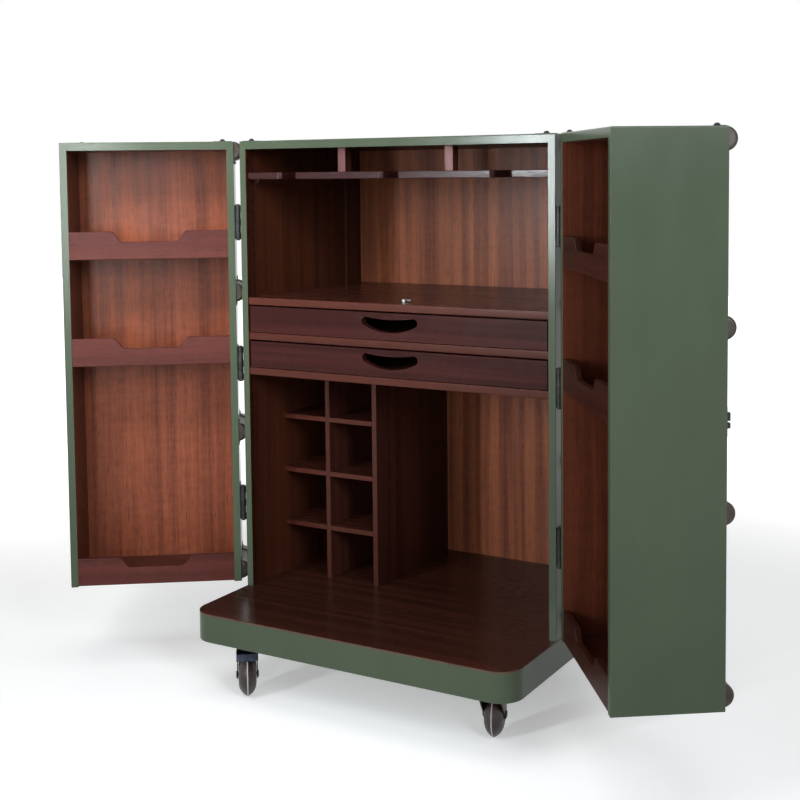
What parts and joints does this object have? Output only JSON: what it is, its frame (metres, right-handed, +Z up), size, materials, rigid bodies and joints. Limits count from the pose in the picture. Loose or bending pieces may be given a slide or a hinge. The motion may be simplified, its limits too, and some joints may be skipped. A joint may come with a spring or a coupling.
{
  "type": "travel bar case",
  "caption": "Upright travel bar case on castors, with two hinged box doors, drawers, a slotted glass rack, bottle cells and door trays.",
  "frame": {"origin": "on the floor under the middle of the case's front opening", "axes": "+Z up, +X to the right seen from the front, +Y towards the back of the case"},
  "size_m": [1.6023, 0.8126, 1.1868],
  "materials": {
    "green_lacquer": "satin green lacquer on board",
    "walnut": "satin red-brown veneer",
    "dark_walnut": "satin dark red-brown stain",
    "slat_wood": "stained wood",
    "bronze": "dark bronzed metal",
    "hinge_metal": "dark antique steel",
    "castor_metal": "dark antique",
    "castor_rubber": "matte"
  },
  "bodies": {
    "case": {"platform_rim": "green_lacquer", "platform_bottom": "green_lacquer", "deck_board": "walnut", "case_left_side": "green_lacquer", "case_right_side": "green_lacquer", "case_back": "green_lacquer", "case_top": "green_lacquer", "case_corner_posts": "green_lacquer", "case_lining": "walnut", "counter_board": "dark_walnut", "counter_stud": "bronze", "drawer_shelves": "dark_walnut", "bottle_divider": "dark_walnut", "tall_partition": "dark_walnut", "bottle_shelves": "dark_walnut", "glass_rack": "dark_walnut", "glass_rack_hangers": "dark_walnut", "drawer_runners": "dark_walnut", "case_slats": "slat_wood", "case_slat_caps": "bronze", "case_corner_plates": "bronze", "case_hinge_leaves": "hinge_metal", "castor_plates": "castor_metal"},
    "upper_drawer": {"upper_drawer_front": "dark_walnut", "upper_drawer_box": "dark_walnut"},
    "lower_drawer": {"lower_drawer_front": "dark_walnut", "lower_drawer_box": "dark_walnut"},
    "left_door": {"left_door_front": "green_lacquer", "left_door_hinge_side": "green_lacquer", "left_door_meeting_side": "green_lacquer", "left_door_end_boards": "green_lacquer", "left_door_lining": "walnut", "left_door_trays": "dark_walnut", "left_door_slats": "slat_wood", "left_door_slat_caps": "bronze", "left_door_corner_plates": "bronze", "left_door_hinge_leaves": "hinge_metal", "latch_mount": "bronze"},
    "right_door": {"right_door_front": "green_lacquer", "right_door_hinge_side": "green_lacquer", "right_door_meeting_side": "green_lacquer", "right_door_end_boards": "green_lacquer", "right_door_lining": "walnut", "right_door_trays": "dark_walnut", "right_door_slats": "slat_wood", "right_door_slat_caps": "bronze", "right_door_corner_plates": "bronze", "right_door_hinge_leaves": "hinge_metal", "latch_lugs": "bronze"},
    "hasp": {"latch_hasp": "bronze"},
    "castor_swivel_front_left": {"castor_fork_front_left": "castor_metal"},
    "castor_wheel_front_left": {"castor_wheel_front_left": "castor_rubber"},
    "castor_brake_front_left": {"castor_brake_front_left": "castor_metal"},
    "castor_swivel_front_right": {"castor_fork_front_right": "castor_metal"},
    "castor_wheel_front_right": {"castor_wheel_front_right": "castor_rubber"},
    "castor_brake_front_right": {"castor_brake_front_right": "castor_metal"},
    "castor_swivel_rear_left": {"castor_fork_rear_left": "castor_metal"},
    "castor_wheel_rear_left": {"castor_wheel_rear_left": "castor_rubber"},
    "castor_swivel_rear_right": {"castor_fork_rear_right": "castor_metal"},
    "castor_wheel_rear_right": {"castor_wheel_rear_right": "castor_rubber"}
  },
  "joints": [
    {"name": "left_door_hinge", "type": "hinge", "parent": "case", "child": "left_door", "pos_m": [-0.3864, 0, 0.681], "axis": [0, 0, -1], "range_deg": [-144, 6]},
    {"name": "right_door_hinge", "type": "hinge", "parent": "case", "child": "right_door", "pos_m": [0.3864, 0, 0.681], "axis": [0, 0, 1], "range_deg": [-126, 24]},
    {"name": "upper_drawer_slide", "type": "slide", "parent": "case", "child": "upper_drawer", "axis": [0, -1, 0], "range_m": [0, 0.29]},
    {"name": "lower_drawer_slide", "type": "slide", "parent": "case", "child": "lower_drawer", "axis": [0, -1, 0], "range_m": [0, 0.29]},
    {"name": "latch_hasp_hinge", "type": "hinge", "parent": "left_door", "child": "hasp", "pos_m": [-0.801, -0.04845, 0.686], "axis": [0, 0, -1], "range_deg": [-180, 0]},
    {"name": "castor_swivel_front_left", "type": "hinge", "parent": "case", "child": "castor_swivel_front_left", "pos_m": [-0.294, -0.118, 0.11], "axis": [0, 0, 1], "continuous": true},
    {"name": "castor_roll_front_left", "type": "hinge", "parent": "castor_swivel_front_left", "child": "castor_wheel_front_left", "pos_m": [-0.2697, -0.14978, 0.046], "axis": [0.7944, 0.6074, 0], "continuous": true},
    {"name": "castor_brake_front_left", "type": "hinge", "parent": "castor_swivel_front_left", "child": "castor_brake_front_left", "pos_m": [-0.26667, -0.15375, 0.1008], "axis": [0.7944, 0.6074, 0], "range_deg": [0, 7]},
    {"name": "castor_swivel_front_right", "type": "hinge", "parent": "case", "child": "castor_swivel_front_right", "pos_m": [0.294, -0.118, 0.11], "axis": [0, 0, 1], "continuous": true},
    {"name": "castor_roll_front_right", "type": "hinge", "parent": "castor_swivel_front_right", "child": "castor_wheel_front_right", "pos_m": [0.28257, -0.07967, 0.046], "axis": [-0.9583, -0.2857, 0], "continuous": true},
    {"name": "castor_brake_front_right", "type": "hinge", "parent": "castor_swivel_front_right", "child": "castor_brake_front_right", "pos_m": [0.28114, -0.07487, 0.1008], "axis": [-0.9583, -0.2857, 0], "range_deg": [0, 7]},
    {"name": "castor_swivel_rear_left", "type": "hinge", "parent": "case", "child": "castor_swivel_rear_left", "pos_m": [-0.294, 0.396, 0.11], "axis": [0, 0, 1], "continuous": true},
    {"name": "castor_roll_rear_left", "type": "hinge", "parent": "castor_swivel_rear_left", "child": "castor_wheel_rear_left", "pos_m": [-0.31863, 0.42752, 0.046], "axis": [-0.788, -0.6157, 0], "continuous": true},
    {"name": "castor_swivel_rear_right", "type": "hinge", "parent": "case", "child": "castor_swivel_rear_right", "pos_m": [0.294, 0.396, 0.11], "axis": [0, 0, 1], "continuous": true},
    {"name": "castor_roll_rear_right", "type": "hinge", "parent": "castor_swivel_rear_right", "child": "castor_wheel_rear_right", "pos_m": [0.29818, 0.43578, 0.046], "axis": [-0.9945, 0.1045, 0], "continuous": true}
  ]
}
